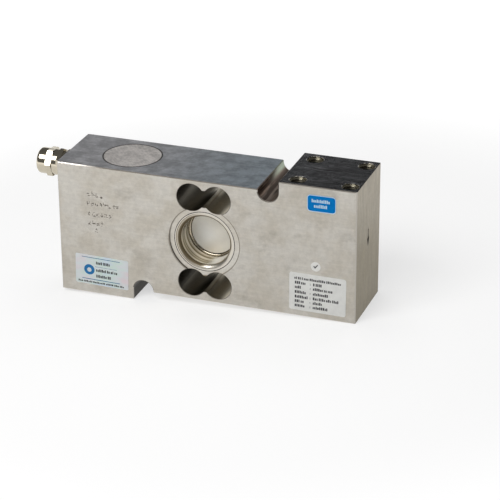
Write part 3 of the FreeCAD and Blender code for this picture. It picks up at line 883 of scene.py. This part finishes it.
def makeWeld(name):
    size = welds[name]
    side = Vector((1, 0, 0))
    third = size["out"].cross(side)

    def build(shape):
        rings = []
        for i in range(bead["count"]):
            a = 2 * math.pi * i / bead["count"]
            ray = side * math.cos(a) + third * math.sin(a)
            wobble = 1 + bead["wobble"] * math.sin(7 * a) * math.cos(3 * a)
            ring = []
            for k in range(bead["across"]):
                b = math.pi * k / (bead["across"] - 1)
                reach = size["radius"] + size["width"] / 2 * wobble * math.cos(b)
                crest = size["height"] + bead["ripple"] * math.sin(bead["ripples"] * a)
                rise = crest * math.sin(b) - bead["sunk"]
                ring.append(shape.verts.new(size["centre"] + ray * reach + size["out"] * rise))
            rings.append(ring)
        for i in range(len(rings)):
            j = (i + 1) % len(rings)
            for k in range(bead["across"]):
                m = (k + 1) % bead["across"]
                shape.faces.new((rings[i][k], rings[j][k], rings[j][m], rings[i][m])).smooth = True

    addPiece(name, build, [weld])


for name in welds:
    makeWeld(name)
print("stamped marks, threads and welds made")

# the studio, in metres
studio = {
    # the cell leans over its foot's edge onto the end of its underside, 5 mm down over 112 mm
    "tilt": math.atan2(5.0, 112.0),
    "pivot": Vector((20.3 * mm, 0, 0)),
    "aim": Vector((boreCentre.x, 0, boreCentre.z)) * mm,
    "floorSize": 6.0,
    "floorAlbedo": 0.42,
    "nearFill": 0.60,
    "farFill": 1.1,
    "fillStart": 0.16,
    "fillEnd": 0.5,
    "backdropAlbedo": 0.8,
    "backdropPlace": 1.5,
    "backdropFoot": -0.2,
    "backdropTop": 0.5,
    "world": 0.13,
    "softbox": {
        "place": Vector((-0.25, -0.75, 0.85)), "size": (0.9, 0.6), "power": 10.0, "mirrored": True,
    },
    "sky": {
        "place": Vector((-0.1, 0.55, 1.1)), "size": (1.0, 1.0), "power": 5.0, "mirrored": False,
    },
}


def stagePlane(name, outline, albedo, level=None):
    # a paper sheet whose background level is seen straight and in mirrors, and lights nothing
    mesh = bpy.data.meshes.new(name)
    mesh.from_pydata(outline, [], [(0, 1, 2, 3)])
    plane = bpy.data.objects.new(name, mesh)
    bpy.context.scene.collection.objects.link(plane)
    s = Shader(name + "Paper")
    rays = s.node("LightPath")
    mirrored = s.larger(rays.of("Is Glossy Ray"), rays.of("Is Transmission Ray"))
    seen = s.larger(rays.of("Is Camera Ray"), mirrored)
    grain = s.mix(s.noise(s.place(), 0.4, 2.0, 0.5), (1.0, 1.0, 1.0, 1.0), (0.97, 0.97, 0.97, 1.0))
    paper = s.node("BsdfDiffuse", {}, {"Color": s.shade(grain, albedo)})
    strength = seen * level(s) if level else seen
    fill = s.node("Emission", {}, {"Color": (1.0, 1.0, 1.0, 1.0), "Strength": strength})
    both = s.node("AddShader", {}, {0: paper, 1: fill})
    s.node("OutputMaterial", {}, {"Surface": both})
    mesh.materials.append(s.material)
    return plane


def floorLevel(s):
    # the paper's glow is painted dimmer near the part, a painted shade round it, and rises away from the
    # part up to plain white
    x, y = s.split(s.node("TexCoord", output="Object"))[:2]
    away = s.radius(x, y, studio["aim"].x - studio["pivot"].x, 0.0)
    near, far = studio["nearFill"], studio["farFill"]
    return near + (far - near) * s.smooth(away, studio["fillStart"], studio["fillEnd"])


def makePaper():
    half = studio["floorSize"] / 2
    outline = [(-half, -half, 0), (half, -half, 0), (half, half, 0), (-half, half, 0)]
    floor = stagePlane("floor", outline, studio["floorAlbedo"], floorLevel)
    floor.location = studio["pivot"]
    floor.rotation_euler = (0, -studio["tilt"], 0)
    wall, foot, top = studio["backdropPlace"], studio["backdropFoot"], studio["backdropTop"]
    outline = [(-half, wall, foot), (half, wall, foot), (half, wall, top), (-half, wall, top)]
    stagePlane("backdrop", outline, studio["backdropAlbedo"])


def makeLamp(name):
    size = studio[name]
    lamp = bpy.data.lights.new(name, "AREA")
    lamp.shape = "RECTANGLE"
    lamp.size, lamp.size_y = size["size"]
    lamp.energy = size["power"]
    holder = bpy.data.objects.new(name, lamp)
    bpy.context.scene.collection.objects.link(holder)
    holder.location = studio["aim"] + size["place"]
    holder.rotation_mode = "QUATERNION"
    holder.rotation_quaternion = (-size["place"]).to_track_quat("-Z", "Y")
    holder.visible_glossy = size["mirrored"]


def makeWorld():
    world = bpy.data.worlds.new("room")
    bpy.context.scene.world = world
    world.use_nodes = True
    level = studio["world"]
    world.node_tree.nodes["Background"].inputs["Color"].default_value = (level, level, level, 1.0)


# the camera, in metres and millimetres of lens
cameraView = {
    "place": Vector((0.38713, -0.85954, 0.45272)),
    "forward": Vector((-0.31073, 0.85136, -0.42265)),
    "up": Vector((-0.13857, 0.39933, 0.90627)),
    "lens": 151.58,
    "sensor": 36.0,
    "nearest": 0.05,
    "farthest": 50.0,
}


def makeCamera():
    data = bpy.data.cameras.new("camera")
    data.lens = cameraView["lens"]
    data.sensor_width = cameraView["sensor"]
    data.clip_start = cameraView["nearest"]
    data.clip_end = cameraView["farthest"]
    camera = bpy.data.objects.new("camera", data)
    bpy.context.scene.collection.objects.link(camera)
    right = cameraView["forward"].cross(cameraView["up"]).normalized()
    up = right.cross(cameraView["forward"]).normalized()
    turn = Matrix((right, up, -cameraView["forward"])).transposed()
    camera.matrix_world = Matrix.Translation(cameraView["place"]) @ turn.to_4x4()
    bpy.context.scene.camera = camera


makePaper()
makeLamp("softbox")
makeLamp("sky")
makeWorld()
makeCamera()
bpy.context.scene.view_settings.view_transform = "Standard"
print("studio ready")
